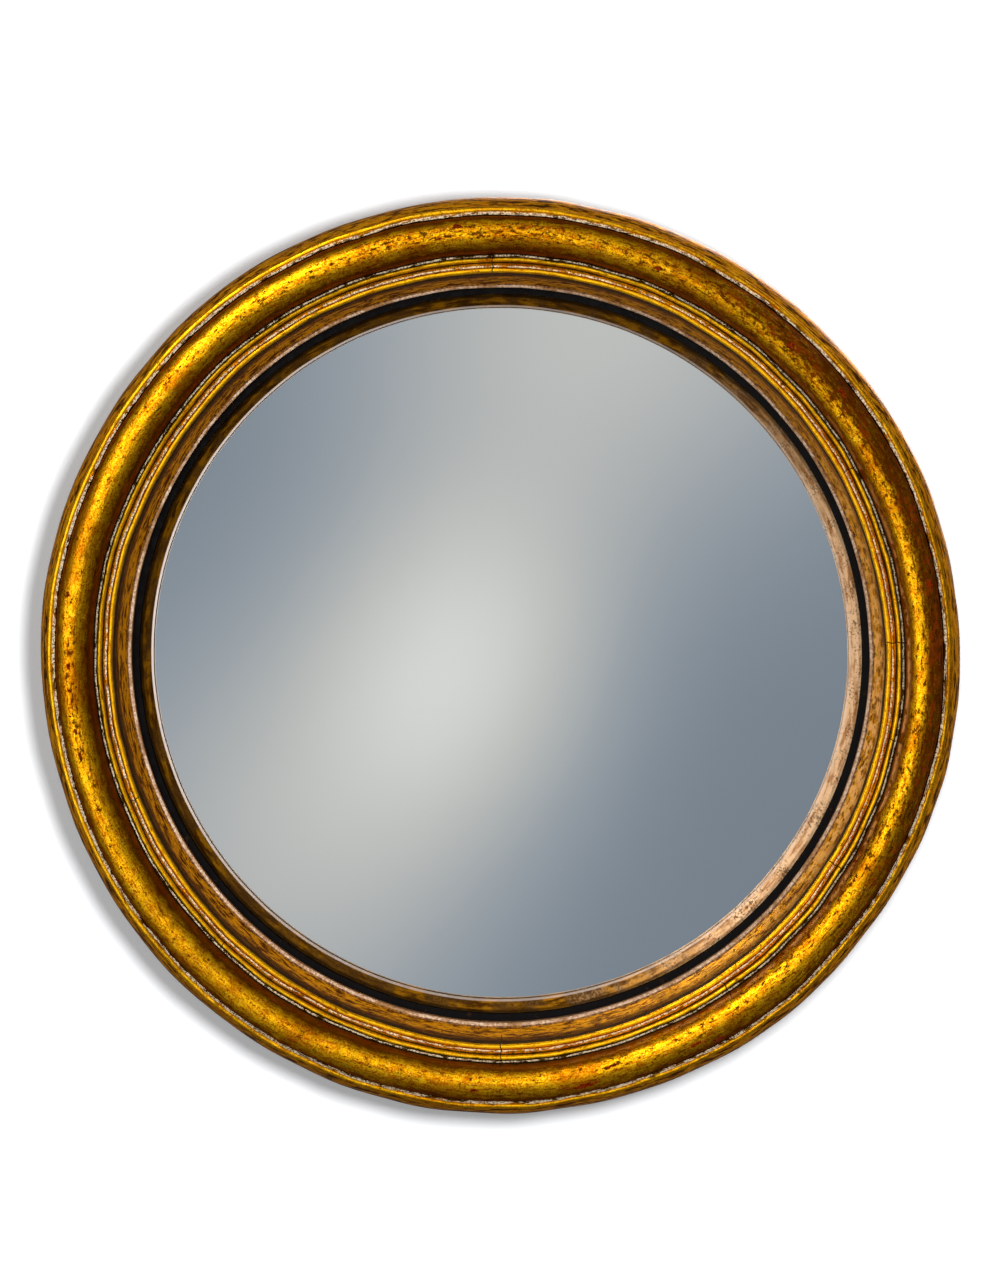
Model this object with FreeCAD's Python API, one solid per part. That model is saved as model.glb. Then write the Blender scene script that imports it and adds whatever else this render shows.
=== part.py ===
"""Convex butlers mirror: a round gilded frame with a domed glass, in millimetres.

The wall is the plane y = 0 and the mirror faces -Y, with +Z up. The origin is where the frame's axis meets
the wall. Depths are measured backwards from the crown of the big front roll, so y = depth - TOTAL_DEPTH.
Angles round the frame run anticlockwise from +X as seen from the front.
"""

import FreeCAD, Part  # noqa: E401

import math
import os

# overall
OUTER_RADIUS = 240.0
TOTAL_DEPTH = 70.0  # crown of the roll to the wall
FRAME_DEPTH = 64.0  # crown of the roll to the frame's back face
JOINT_DEPTH = 31.4  # glue plane between the front and back layers
BLOCKS_PER_LAYER = 8

# outer side of the frame
WIDEST_DEPTH = 22.0
BACK_OUTER_RADIUS = 236.5

# front mouldings, from the outside in
SHOULDER_RADIUS = 235.0
SHOULDER_DEPTH = 12.4
FILLET_DEPTH = 11.0
FILLET_CROWN_DEPTH = 9.9
OUTER_ARRIS_RADIUS = 232.3
OUTER_ARRIS_DEPTH = 9.6
QUIRK_WIDTH = 0.6
QUIRK_DEPTH = 11.8
ROLL_CENTRE_RADIUS = 220.6
ROLL_RADIUS = 9.4
ROLL_FOOT_RADIUS = 210.3
ROLL_FOOT_DEPTH = 13.0
STEP_DROP = 0.7  # from an arris down to the bead beside it
BEAD_ARRIS_WIDTH = 0.9
FIRST_ARRIS_RADIUS = 210.1
FIRST_ARRIS_DEPTH = 12.2
FIRST_BEAD_RADIUS = 1.3
SECOND_ARRIS_RADIUS = 204.7
SECOND_ARRIS_DEPTH = 13.8
SECOND_BEAD_RADIUS = 1.4
COVE_TOP_RADIUS = 200.5
COVE_TOP_DEPTH = 16.6
COVE_BELLY_RADIUS = 198.7
COVE_BELLY_DEPTH = 25.0
COVE_FOOT_RADIUS = 195.7

# sight lip and rebate in the back layer
LIP_RADIUS = 193.7
LIP_NOSE_DEPTH = 33.6
LIP_BACK_DEPTH = 37.5
REBATE_RADIUS = 200.0
BOARD_REBATE_RADIUS = 208.0
BOARD_DEPTH = 60.0  # depth of the backboard's front face
LIP_NOSE_REACH = 0.5  # the lip's rounded nose, measured from its inner edge
LIP_NOSE_DROP = 0.7  # and from the glue plane
BACK_FACE_Y = FRAME_DEPTH - TOTAL_DEPTH
BOARD_FACE_Y = BOARD_DEPTH - TOTAL_DEPTH

# slips, inside the rebate
SLIP_GAP = 0.4  # between a loose ring and the rebate wall
EBONISED_INNER_RADIUS = 190.2
EBONISED_THICKNESS = 4.0
SIGHT_RADIUS = 183.4
SIGHT_OUTER_RADIUS = 189.9
SIGHT_TOP_DEPTH = 39.2
SIGHT_NOSE = 1.6

# glass
GLASS_RADIUS = 190.5
GLASS_THICKNESS = 3.0
DOME_RADIUS = 1100.0
DOME_CROWN_DEPTH = 30.2
GLASS_GAP = 0.25  # between the domed face and the slip in front of it
EDGE_STRIP_GAP = 0.4

# pads, backboard and its screws
PAD_COUNT = 8
PAD_LENGTH = 40.0
PAD_WIDTH = 12.0
PAD_GAP = 0.3
PAD_INSET = 2.0  # from the edge of the glass
BOARD_GAP = 0.4
BOARD_SCREW_RADIUS = 203.8  # distance of each screw from the frame's axis
BOARD_SCREW_LENGTH = 16.0
SCREW_SHANK_RADIUS = 1.5
SCREW_TIP_LENGTH = 2.0
SCREW_TIP_RADIUS = 0.3
SCREW_HEAD_RADIUS = 3.0
SCREW_HEAD_HEIGHT = 2.0
SCREW_SLOT_WIDTH = 0.9
SCREW_SLOT_DEPTH = 1.0
SLOT_SPIN_DEG = 37.0  # each backboard screw's slot is turned this much from the last
HOLE_EXTRA_DEPTH = 1.0  # a pilot hole runs this far past its screw
HOLE_GAP = 0.05  # round a screw shank in wood
CLEARANCE_HOLE_GAP = 0.25  # round a screw shank in a board or plate

# hanger
HINGE_RADIUS = 222.0  # height of the ring's hinge above the frame's axis
HINGE_STANDOFF = 2.75  # hinge axis behind the frame's back face
RING_WIRE_RADIUS = 1.25
RING_HALF_WIDTH = 9.25  # to the middle of the wire
RING_CORNER_RADIUS = 2.5
RING_LEG = 3.0
EYE_GAP = 0.05
EYE_LENGTH = 12.0
PLATE_THICKNESS = 1.2
PLATE_WIDTH = 38.0
PLATE_TOP_DROP = 4.0  # below the hinge axis
PLATE_HEIGHT = 9.0
PLATE_CORNER = 2.0
NECK_OVERLAP = 1.0  # of the eye's neck on the plate
HANGER_SCREW_OFFSET = 14.5
HANGER_SCREW_LENGTH = 14.0

# wall bumpers
BUMPER_RADIUS = 7.0
BUMPER_FACE_RADIUS = 5.5
BUMPER_RING_RADIUS = 221.0
BUMPER_ANGLES = {"left_bumper": 240.0, "right_bumper": 300.0}

FRONT_AXIS = FreeCAD.Vector(0, -1, 0)  # turning about this is anticlockwise as seen from the front
ORIGIN = FreeCAD.Vector(0, 0, 0)


def at(radius, depth):
    """A point of a section, in the half plane through +X."""
    return FreeCAD.Vector(radius, depth - TOTAL_DEPTH, 0)


def line(start, end):
    return Part.LineSegment(start, end).toShape()


def arc(start, middle, end):
    return Part.Arc(start, middle, end).toShape()


def outline(steps):
    """A closed face from a list of points and of ("arc", middle) marks between two points."""
    edges = []
    here = steps[0]
    middle = None
    for step in steps[1:] + steps[:1]:
        if isinstance(step, tuple):
            middle = step[1]
            continue
        edges.append(arc(here, middle, step) if middle else line(here, step))
        here = step
        middle = None
    return Part.Face(Part.Wire(edges))


def turned(face, start_deg=0.0, sweep_deg=360.0):
    """The face revolved round the frame's axis."""
    placed = face.copy()
    placed.rotate(ORIGIN, FRONT_AXIS, start_deg)
    return placed.revolve(ORIGIN, FRONT_AXIS, sweep_deg)


def moved_round(shape, angle_deg):
    copy = shape.copy()
    copy.rotate(ORIGIN, FRONT_AXIS, angle_deg)
    return copy


def half_round(outer_radius, roll_radius, base_depth):
    """A bead's outline from its outer foot over its crown to its inner foot."""
    centre = outer_radius - roll_radius
    return [
        at(outer_radius, base_depth),
        ("arc", at(centre, base_depth - roll_radius)),
        at(centre - roll_radius, base_depth),
    ]


def side_radius(depth):
    """Radius of the frame's outer side behind its widest line."""
    share = (depth - WIDEST_DEPTH) / (FRAME_DEPTH - WIDEST_DEPTH)
    return OUTER_RADIUS + share * (BACK_OUTER_RADIUS - OUTER_RADIUS)


def shoulder_middle():
    """Middle of the shoulder's arc, which leaves the outer side without a corner."""
    across = OUTER_RADIUS - SHOULDER_RADIUS
    down = WIDEST_DEPTH - SHOULDER_DEPTH
    radius = (across**2 + down**2) / (2 * across)
    half_angle = math.atan2(down, radius - across) / 2
    return at(
        OUTER_RADIUS - radius * (1 - math.cos(half_angle)),
        WIDEST_DEPTH - radius * math.sin(half_angle),
    )


def shoulder():
    """The outer side and the rounded shoulder up to the small gilt fillet."""
    return [
        at(side_radius(JOINT_DEPTH), JOINT_DEPTH),
        at(OUTER_RADIUS, WIDEST_DEPTH),
        ("arc", shoulder_middle()),
        at(SHOULDER_RADIUS, SHOULDER_DEPTH),
        at(SHOULDER_RADIUS, FILLET_DEPTH),
        ("arc", at((SHOULDER_RADIUS + OUTER_ARRIS_RADIUS) / 2, FILLET_CROWN_DEPTH)),
        at(OUTER_ARRIS_RADIUS, OUTER_ARRIS_DEPTH + STEP_DROP),
        at(OUTER_ARRIS_RADIUS, OUTER_ARRIS_DEPTH),
    ]


def roll():
    """The big half-round roll between its two quirks."""
    outer_foot = ROLL_CENTRE_RADIUS + ROLL_RADIUS
    return [
        at(outer_foot + QUIRK_WIDTH, OUTER_ARRIS_DEPTH),
        at(outer_foot + QUIRK_WIDTH / 2, QUIRK_DEPTH),
        *half_round(outer_foot, ROLL_RADIUS, ROLL_RADIUS),
        at(ROLL_FOOT_RADIUS, ROLL_FOOT_DEPTH),
    ]


def beads():
    """Two arrises, each with a small bead inside it."""
    points = []
    for radius, depth, bead in (
        (FIRST_ARRIS_RADIUS, FIRST_ARRIS_DEPTH, FIRST_BEAD_RADIUS),
        (SECOND_ARRIS_RADIUS, SECOND_ARRIS_DEPTH, SECOND_BEAD_RADIUS),
    ):
        bead_outer = radius - BEAD_ARRIS_WIDTH
        base = depth + STEP_DROP + bead
        points += [
            at(radius, depth),
            at(bead_outer, depth),
            *half_round(bead_outer, bead, base),
            at(bead_outer - 2 * bead - QUIRK_WIDTH / 2, base + STEP_DROP),
        ]
    return points


def front_section():
    """Section of the frame's front layer."""
    return outline(
        [
            *shoulder(),
            *roll(),
            *beads(),
            at(COVE_TOP_RADIUS, COVE_TOP_DEPTH),
            ("arc", at(COVE_BELLY_RADIUS, COVE_BELLY_DEPTH)),
            at(COVE_FOOT_RADIUS, JOINT_DEPTH),
        ]
    )


def back_section():
    """Section of the frame's back layer: sight lip, glass rebate and backboard rebate."""
    return outline(
        [
            at(side_radius(JOINT_DEPTH), JOINT_DEPTH),
            at(COVE_FOOT_RADIUS, JOINT_DEPTH),
            ("arc", at(LIP_RADIUS + LIP_NOSE_REACH, JOINT_DEPTH + LIP_NOSE_DROP)),
            at(LIP_RADIUS, LIP_NOSE_DEPTH),
            at(LIP_RADIUS, LIP_BACK_DEPTH),
            at(REBATE_RADIUS, LIP_BACK_DEPTH),
            at(REBATE_RADIUS, BOARD_DEPTH),
            at(BOARD_REBATE_RADIUS, BOARD_DEPTH),
            at(BOARD_REBATE_RADIUS, FRAME_DEPTH),
            at(side_radius(FRAME_DEPTH), FRAME_DEPTH),
        ]
    )


def ebonised_slip():
    inner, outer = EBONISED_INNER_RADIUS, REBATE_RADIUS - SLIP_GAP
    top, bottom = LIP_BACK_DEPTH, LIP_BACK_DEPTH + EBONISED_THICKNESS
    return turned(outline([at(outer, top), at(inner, top), at(inner, bottom), at(outer, bottom)]))


def dome_depth(radius, inset=0.0):
    """Depth of the glass's front face at a radius, or of a face that lies inset behind it."""
    dome = DOME_RADIUS - inset
    return DOME_CROWN_DEPTH + DOME_RADIUS - math.sqrt(dome**2 - radius**2)


def gilt_sight_slip():
    """The sloping ring in front of the glass; its flange lies behind the ebonised slip."""
    outer = REBATE_RADIUS - SLIP_GAP
    flange_top = LIP_BACK_DEPTH + EBONISED_THICKNESS
    seat_depth = dome_depth(SIGHT_RADIUS) - GLASS_GAP
    flange_back = dome_depth(GLASS_RADIUS) - GLASS_GAP
    return turned(
        outline(
            [
                at(outer, flange_top),
                at(SIGHT_OUTER_RADIUS, flange_top),
                at(SIGHT_OUTER_RADIUS, SIGHT_TOP_DEPTH),
                at(SIGHT_RADIUS, seat_depth - SIGHT_NOSE),
                at(SIGHT_RADIUS, seat_depth),
                at(GLASS_RADIUS, flange_back),
                at(outer, flange_back),
            ]
        )
    )


def convex_glass():
    """A slice of a hollow sphere: the silver lies on its back face."""
    crown, back_crown = DOME_CROWN_DEPTH, DOME_CROWN_DEPTH + GLASS_THICKNESS
    half = GLASS_RADIUS / 2
    face = outline(
        [
            at(0, crown),
            ("arc", at(half, dome_depth(half))),
            at(GLASS_RADIUS, dome_depth(GLASS_RADIUS)),
            at(GLASS_RADIUS, dome_depth(GLASS_RADIUS, GLASS_THICKNESS)),
            ("arc", at(half, dome_depth(half, GLASS_THICKNESS))),
            at(0, back_crown),
        ]
    )
    return turned(face)


def glass_edge_strip():
    """Felt round the edge of the glass, between the sight slip and the backboard."""
    inner, outer = GLASS_RADIUS + EDGE_STRIP_GAP, REBATE_RADIUS - SLIP_GAP
    top = dome_depth(GLASS_RADIUS)
    return turned(
        outline([at(outer, top), at(inner, top), at(inner, BOARD_DEPTH), at(outer, BOARD_DEPTH)])
    )


def glass_pressure_pads():
    """Cork pads between the rim of the glass and the backboard."""
    front = dome_depth(GLASS_RADIUS, GLASS_THICKNESS) + PAD_GAP - TOTAL_DEPTH
    outer = GLASS_RADIUS - PAD_INSET
    pad = Part.makeBox(
        PAD_WIDTH,
        BOARD_DEPTH - TOTAL_DEPTH - front,
        PAD_LENGTH,
        FreeCAD.Vector(outer - PAD_WIDTH, front, -PAD_LENGTH / 2),
    )
    step = 360.0 / PAD_COUNT
    return [moved_round(pad, step * i) for i in range(PAD_COUNT)]


def back_hole(x, z, radius, top_y, bottom_y):
    """A round cutter along Y between two planes."""
    return Part.makeCylinder(
        radius, bottom_y - top_y, FreeCAD.Vector(x, top_y, z), FreeCAD.Vector(0, 1, 0)
    )


def screw(length, head_face_y):
    """A slotted round-head screw at the axis; the underside of its head is at head_face_y."""
    back = FreeCAD.Vector(0, 1, 0)
    tip_y = head_face_y - length
    shank_y = tip_y + SCREW_TIP_LENGTH
    tip = Part.makeCone(
        SCREW_TIP_RADIUS, SCREW_SHANK_RADIUS, SCREW_TIP_LENGTH, FreeCAD.Vector(0, tip_y, 0), back
    )
    shank = Part.makeCylinder(
        SCREW_SHANK_RADIUS, length - SCREW_TIP_LENGTH, FreeCAD.Vector(0, shank_y, 0), back
    )
    dome = (SCREW_HEAD_RADIUS**2 + SCREW_HEAD_HEIGHT**2) / (2 * SCREW_HEAD_HEIGHT)
    ball = Part.makeSphere(dome, FreeCAD.Vector(0, head_face_y + SCREW_HEAD_HEIGHT - dome, 0))
    side = 4 * SCREW_HEAD_RADIUS
    above = Part.makeBox(side, side, side, FreeCAD.Vector(-side / 2, head_face_y, -side / 2))
    slot = Part.makeBox(
        side,
        SCREW_SLOT_DEPTH,
        SCREW_SLOT_WIDTH,
        FreeCAD.Vector(
            -side / 2, head_face_y + SCREW_HEAD_HEIGHT - SCREW_SLOT_DEPTH, -SCREW_SLOT_WIDTH / 2
        ),
    )
    head = ball.common(above).cut(slot)
    return tip.fuse(shank).fuse(head).removeSplitter()


def board_screw_angles():
    step = 360.0 / BLOCKS_PER_LAYER
    return [step * i for i in range(BLOCKS_PER_LAYER)]


def place_on_back(shape, radius, angle_deg, spin_deg=0.0):
    """The shape moved from the axis to a radius and an angle, turned by spin_deg on the way."""
    copy = shape.copy()
    copy.rotate(ORIGIN, FRONT_AXIS, spin_deg)
    angle = math.radians(angle_deg)
    copy.translate(FreeCAD.Vector(radius * math.cos(angle), 0, radius * math.sin(angle)))
    return copy


def backboard():
    board = Part.makeCylinder(
        BOARD_REBATE_RADIUS - BOARD_GAP,
        BACK_FACE_Y - BOARD_FACE_Y,
        FreeCAD.Vector(0, BOARD_FACE_Y, 0),
        FreeCAD.Vector(0, 1, 0),
    )
    hole = back_hole(0, 0, SCREW_SHANK_RADIUS + CLEARANCE_HOLE_GAP, BOARD_FACE_Y, BACK_FACE_Y)
    for angle in board_screw_angles():
        board = board.cut(place_on_back(hole, BOARD_SCREW_RADIUS, angle))
    return board


def backboard_screws():
    one = screw(BOARD_SCREW_LENGTH, BACK_FACE_Y)
    return [
        place_on_back(one, BOARD_SCREW_RADIUS, angle, spin_deg=SLOT_SPIN_DEG * i)
        for i, angle in enumerate(board_screw_angles())
    ]


def hanger_plate():
    """A flat plate with a rolled eye along its top edge for the ring's bar."""
    axis_y = BACK_FACE_Y + HINGE_STANDOFF
    bore = RING_WIRE_RADIUS + EYE_GAP
    along = FreeCAD.Vector(1, 0, 0)
    eye_start = FreeCAD.Vector(-EYE_LENGTH / 2, axis_y, HINGE_RADIUS)
    top_z = HINGE_RADIUS - PLATE_TOP_DROP
    plate = Part.makeBox(
        PLATE_WIDTH,
        PLATE_THICKNESS,
        PLATE_HEIGHT,
        FreeCAD.Vector(-PLATE_WIDTH / 2, BACK_FACE_Y, top_z - PLATE_HEIGHT),
    )
    corners = [e for e in plate.Edges if abs(e.BoundBox.YLength - PLATE_THICKNESS) < 1e-6]
    plate = plate.makeFillet(PLATE_CORNER, corners)
    neck = Part.makeBox(
        EYE_LENGTH,
        PLATE_THICKNESS,
        PLATE_TOP_DROP + NECK_OVERLAP,
        FreeCAD.Vector(-EYE_LENGTH / 2, BACK_FACE_Y, top_z - NECK_OVERLAP),
    )
    eye = Part.makeCylinder(bore + PLATE_THICKNESS, EYE_LENGTH, eye_start, along)
    hole = Part.makeCylinder(bore, EYE_LENGTH, eye_start, along)
    body = plate.fuse(neck).fuse(eye).cut(hole).removeSplitter()
    for x in (-HANGER_SCREW_OFFSET, HANGER_SCREW_OFFSET):
        body = body.cut(
            back_hole(
                x,
                hanger_screw_height(),
                SCREW_SHANK_RADIUS + CLEARANCE_HOLE_GAP,
                BACK_FACE_Y,
                BACK_FACE_Y + PLATE_THICKNESS,
            )
        )
    return body


def hanger_screw_height():
    return HINGE_RADIUS - PLATE_TOP_DROP - PLATE_HEIGHT / 2


def hanger_screws():
    one = screw(HANGER_SCREW_LENGTH, BACK_FACE_Y + PLATE_THICKNESS)
    placed = []
    for x in (-HANGER_SCREW_OFFSET, HANGER_SCREW_OFFSET):
        copy = one.copy()
        copy.translate(FreeCAD.Vector(x, 0, hanger_screw_height()))
        placed.append(copy)
    return placed


def hanging_ring():
    """A D-shaped wire ring, hanging from its straight bar in the plate's eye."""
    axis_y = BACK_FACE_Y + HINGE_STANDOFF

    def point(x, drop):
        return FreeCAD.Vector(x, axis_y, HINGE_RADIUS - drop)

    w, c, leg = RING_HALF_WIDTH, RING_CORNER_RADIUS, RING_LEG
    bend = c * (1 - math.cos(math.radians(45)))
    path = [
        line(point(-w + c, 0), point(w - c, 0)),
        arc(point(w - c, 0), point(w - bend, bend), point(w, c)),
        line(point(w, c), point(w, c + leg)),
        arc(point(w, c + leg), point(0, c + leg + w), point(-w, c + leg)),
        line(point(-w, c + leg), point(-w, c)),
        arc(point(-w, c), point(-w + bend, bend), point(-w + c, 0)),
    ]
    circle = Part.Circle(point(0, 0), FreeCAD.Vector(1, 0, 0), RING_WIRE_RADIUS).toShape()
    wire = Part.Wire(path)
    pipe = wire.makePipeShell([Part.Wire(circle)], True, True)
    print("ring wire: volume over section times length:", round(ring_ratio(pipe, wire), 4))
    return pipe


def ring_ratio(pipe, wire):
    return pipe.Volume / (math.pi * RING_WIRE_RADIUS**2 * wire.Length)


def bumper(angle_deg):
    """A rubber bumper: a cylinder with its wall edge bevelled."""
    bevel = BUMPER_RADIUS - BUMPER_FACE_RADIUS
    height = -BACK_FACE_Y
    back = FreeCAD.Vector(0, 1, 0)
    foot = Part.makeCylinder(BUMPER_RADIUS, height - bevel, FreeCAD.Vector(0, BACK_FACE_Y, 0), back)
    top = Part.makeCone(
        BUMPER_RADIUS, BUMPER_FACE_RADIUS, bevel, FreeCAD.Vector(0, -bevel, 0), back
    )
    return place_on_back(foot.fuse(top).removeSplitter(), BUMPER_RING_RADIUS, angle_deg)


def with_screw_holes(block, top_y, holes):
    """The block with a blind pilot hole for each (x, z, depth) in holes."""
    for x, z, depth in holes:
        radius = SCREW_SHANK_RADIUS + HOLE_GAP
        block = block.cut(back_hole(x, z, radius, top_y - depth, top_y))
    return block


def ring_blocks():
    """Both layers of the frame: the back layer's joints fall half way along the front layer's blocks."""
    sweep = 360.0 / BLOCKS_PER_LAYER
    front, back = front_section(), back_section()
    board_hole_depth = BOARD_SCREW_LENGTH - (BACK_FACE_Y - BOARD_FACE_Y) + HOLE_EXTRA_DEPTH
    hanger_hole_depth = HANGER_SCREW_LENGTH - PLATE_THICKNESS + HOLE_EXTRA_DEPTH
    hanger_holes = [
        (x, hanger_screw_height(), hanger_hole_depth)
        for x in (-HANGER_SCREW_OFFSET, HANGER_SCREW_OFFSET)
    ]
    blocks = {}
    for i in range(BLOCKS_PER_LAYER):
        blocks[f"front_ring_segment_{i + 1}"] = turned(front, sweep * i, sweep)
        middle = sweep * i
        block = turned(back, middle - sweep / 2, sweep)
        angle = math.radians(middle)
        x, z = BOARD_SCREW_RADIUS * math.cos(angle), BOARD_SCREW_RADIUS * math.sin(angle)
        block = with_screw_holes(block, BOARD_FACE_Y, [(x, z, board_hole_depth)])
        if abs(middle - 90.0) < 1e-6:
            block = with_screw_holes(block, BACK_FACE_Y, hanger_holes)
        blocks[f"back_ring_segment_{i + 1}"] = block
    return blocks


def export(name, shape):
    """One STEP file per piece; a list of solids becomes one group."""
    shape = Part.makeCompound(shape) if isinstance(shape, list) else shape
    for solid in shape.Solids:
        if not solid.isValid() or solid.Volume <= 0:
            raise ValueError(f"{name} holds a bad solid")
    print(f"{name}: {len(shape.Solids)} solids, {sum(s.Volume for s in shape.Solids) / 1000:.2f} cm3")
    shape.exportStep(f"parts/{name}.step")


os.makedirs("parts", exist_ok=True)
pieces = {
    **ring_blocks(),
    "ebonised_slip": ebonised_slip(),
    "gilt_sight_slip": gilt_sight_slip(),
    "convex_glass": convex_glass(),
    "glass_edge_strip": glass_edge_strip(),
    "glass_pressure_pads": glass_pressure_pads(),
    "backboard": backboard(),
    "backboard_screws": backboard_screws(),
    "hanger_plate": hanger_plate(),
    "hanging_ring": hanging_ring(),
    "hanger_screws": hanger_screws(),
    **{name: bumper(angle) for name, angle in BUMPER_ANGLES.items()},
}
for name, shape in pieces.items():
    export(name, shape)
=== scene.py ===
"""Looks of the convex butlers mirror: gilded frame, slips, domed glass and the fittings on its back.

A point of a section is a radius from the frame's axis and a depth behind the crown of the big roll, in
millimetres. Meshes are in metres. The wall is the plane y = 0, the mirror faces -Y, and angles run
anticlockwise from +X as seen from the front.
"""

import math

import bmesh
import bpy
import numpy as np
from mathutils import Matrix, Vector


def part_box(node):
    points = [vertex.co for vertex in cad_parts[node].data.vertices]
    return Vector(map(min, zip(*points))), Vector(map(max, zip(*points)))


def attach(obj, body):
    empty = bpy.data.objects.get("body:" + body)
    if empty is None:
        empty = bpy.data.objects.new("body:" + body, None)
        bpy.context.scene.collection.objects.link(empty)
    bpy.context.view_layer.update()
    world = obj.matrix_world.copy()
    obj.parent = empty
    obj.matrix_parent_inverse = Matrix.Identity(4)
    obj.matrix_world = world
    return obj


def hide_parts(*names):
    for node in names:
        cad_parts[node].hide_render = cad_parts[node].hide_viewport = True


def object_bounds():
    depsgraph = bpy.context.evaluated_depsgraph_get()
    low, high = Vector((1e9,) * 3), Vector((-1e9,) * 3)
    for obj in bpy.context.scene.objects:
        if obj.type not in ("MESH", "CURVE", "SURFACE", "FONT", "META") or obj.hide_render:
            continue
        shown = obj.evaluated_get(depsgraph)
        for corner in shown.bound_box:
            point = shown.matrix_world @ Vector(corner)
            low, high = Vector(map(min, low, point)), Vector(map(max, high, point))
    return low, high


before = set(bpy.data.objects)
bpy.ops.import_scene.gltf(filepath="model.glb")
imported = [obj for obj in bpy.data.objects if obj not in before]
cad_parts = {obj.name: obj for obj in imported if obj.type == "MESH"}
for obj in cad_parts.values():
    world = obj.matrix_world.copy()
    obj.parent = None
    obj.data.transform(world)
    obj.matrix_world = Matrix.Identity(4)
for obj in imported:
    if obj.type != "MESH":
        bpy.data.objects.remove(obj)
CAD_LOW, CAD_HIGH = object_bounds()

MM = 0.001
BLOCKS_PER_LAYER = 8

# overall sizes, from the frame
OUTER_RADIUS = (CAD_HIGH.x - CAD_LOW.x) / 2 / MM
TOTAL_DEPTH = 70.0
JOINT_DEPTH = TOTAL_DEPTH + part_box("front_ring_segment_1")[1].y / MM
FRAME_DEPTH = TOTAL_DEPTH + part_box("back_ring_segment_1")[1].y / MM

# outer side and front mouldings, as in the part
WIDEST_DEPTH = 22.0
BACK_OUTER_RADIUS = 236.5
SHOULDER_RADIUS = 235.0
SHOULDER_DEPTH = 12.4
FILLET_DEPTH = 11.0
FILLET_CROWN_DEPTH = 9.9
OUTER_ARRIS_RADIUS = 232.3
OUTER_ARRIS_DEPTH = 9.6
QUIRK_WIDTH = 0.6
QUIRK_DEPTH = 11.8
ROLL_CENTRE_RADIUS = 220.6
ROLL_RADIUS = 9.4
ROLL_FOOT_RADIUS = 210.3
ROLL_FOOT_DEPTH = 13.0
STEP_DROP = 0.7
BEAD_ARRIS_WIDTH = 0.9
FIRST_ARRIS_RADIUS = 210.1
FIRST_ARRIS_DEPTH = 12.2
FIRST_BEAD_RADIUS = 1.3
SECOND_ARRIS_RADIUS = 204.7
SECOND_ARRIS_DEPTH = 13.8
SECOND_BEAD_RADIUS = 1.4
COVE_TOP_RADIUS = 200.5
COVE_TOP_DEPTH = 16.6
COVE_BELLY_RADIUS = 198.7
COVE_BELLY_DEPTH = 25.0
COVE_FOOT_RADIUS = 195.7

# sight lip, rebates and slips
LIP_RADIUS = 193.7
LIP_NOSE_DEPTH = 33.6
LIP_NOSE_REACH = 0.5
LIP_NOSE_DROP = 0.7
LIP_BACK_DEPTH = 37.5
REBATE_RADIUS = 200.0
BOARD_REBATE_RADIUS = 208.0
BOARD_DEPTH = 60.0
SLIP_GAP = 0.4
EBONISED_THICKNESS = 4.0
SIGHT_RADIUS = 183.4
SIGHT_OUTER_RADIUS = 189.9
SIGHT_TOP_DEPTH = 39.2
SIGHT_NOSE = 1.6

# glass
GLASS_RADIUS = 190.5
GLASS_THICKNESS = 3.0
DOME_RADIUS = 1100.0
DOME_CROWN_DEPTH = TOTAL_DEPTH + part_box("convex_glass")[0].y / MM
GLASS_GAP = 0.25

# hand-made unevenness
SOFTENING = 0.2  # how far every sharp edge is rubbed down
OUTLINE_INSET = 0.45  # the wavering outline stays inside the turned size
CROWN_INSET = 0.35
CROWN_INSET_DEPTH = 12.0  # how far behind the crown its inset has faded
FIRM_FROM_DEPTH = 24.0  # the unevenness starts to fade here
FIRM_OVER_DEPTH = 16.0
FIRM_SHARE = 0.85  # how much of it fades
OUTER_FROM_RADIUS = 225.0  # the outer side's inset grows from here
OUTER_OVER_RADIUS = 10.0
SEAM_WIDTH = 0.25
SEAM_RADIUS = 220.0  # where the width of a seam is measured
SEAM_FRONT_INSET = 0.04
SEAM_BACK_INSET = 0.16
STEPS_PER_BLOCK = 120  # stations round the ring
FLATS = ((17.0, 0.5), (75.0, 0.4), (322.0, 0.6))  # angle and depth of worn flats on the outline
FLAT_REACH_DEG = 5.0
CRACKS = (  # angle, inner radius, outer radius
    (3.0, 201.0, 211.5),
    (29.0, 204.0, 211.0),
    (90.8, 200.0, 213.0),
    (201.0, 201.0, 206.5),
    (226.0, 205.0, 210.5),
    (270.4, 198.0, 212.0),
    (305.0, 204.0, 212.5),
    (329.0, 200.0, 209.0),
    (349.0, 205.5, 213.5),
)
CRACK_WIDTH = 0.24
CRACK_WANDER_DEG = 0.07
CRACK_DEPTH = 0.35
CHIP_DEPTH = 0.5

# wear of the gilding, and painted highlights on the lit side
BOLE_SPOTS = (  # angle, radius, half length and half width of a spot rubbed to the red bole
    (95.3, 225.0, 3.4, 1.5),
    (97.6, 220.0, 1.8, 0.7),
    (68.0, 219.3, 2.2, 1.2),
    (112.5, 222.0, 1.4, 0.8),
    (171.0, 224.0, 2.6, 0.8),
    (180.3, 222.0, 1.2, 1.1),
    (183.8, 222.0, 1.0, 1.1),
    (187.2, 223.4, 0.8, 1.4),
    (189.2, 221.8, 1.5, 1.2),
    (192.5, 221.6, 2.6, 0.9),
    (10.8, 226.3, 2.6, 1.1),
    (38.6, 224.6, 3.0, 1.2),
    (47.5, 222.0, 2.6, 1.5),
    (267.0, 223.0, 2.6, 0.8),
    (281.6, 224.6, 6.5, 1.5),
    (285.6, 218.0, 3.6, 0.9),
    (297.5, 223.7, 5.0, 1.1),
    (300.5, 227.6, 3.2, 1.2),
)
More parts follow.
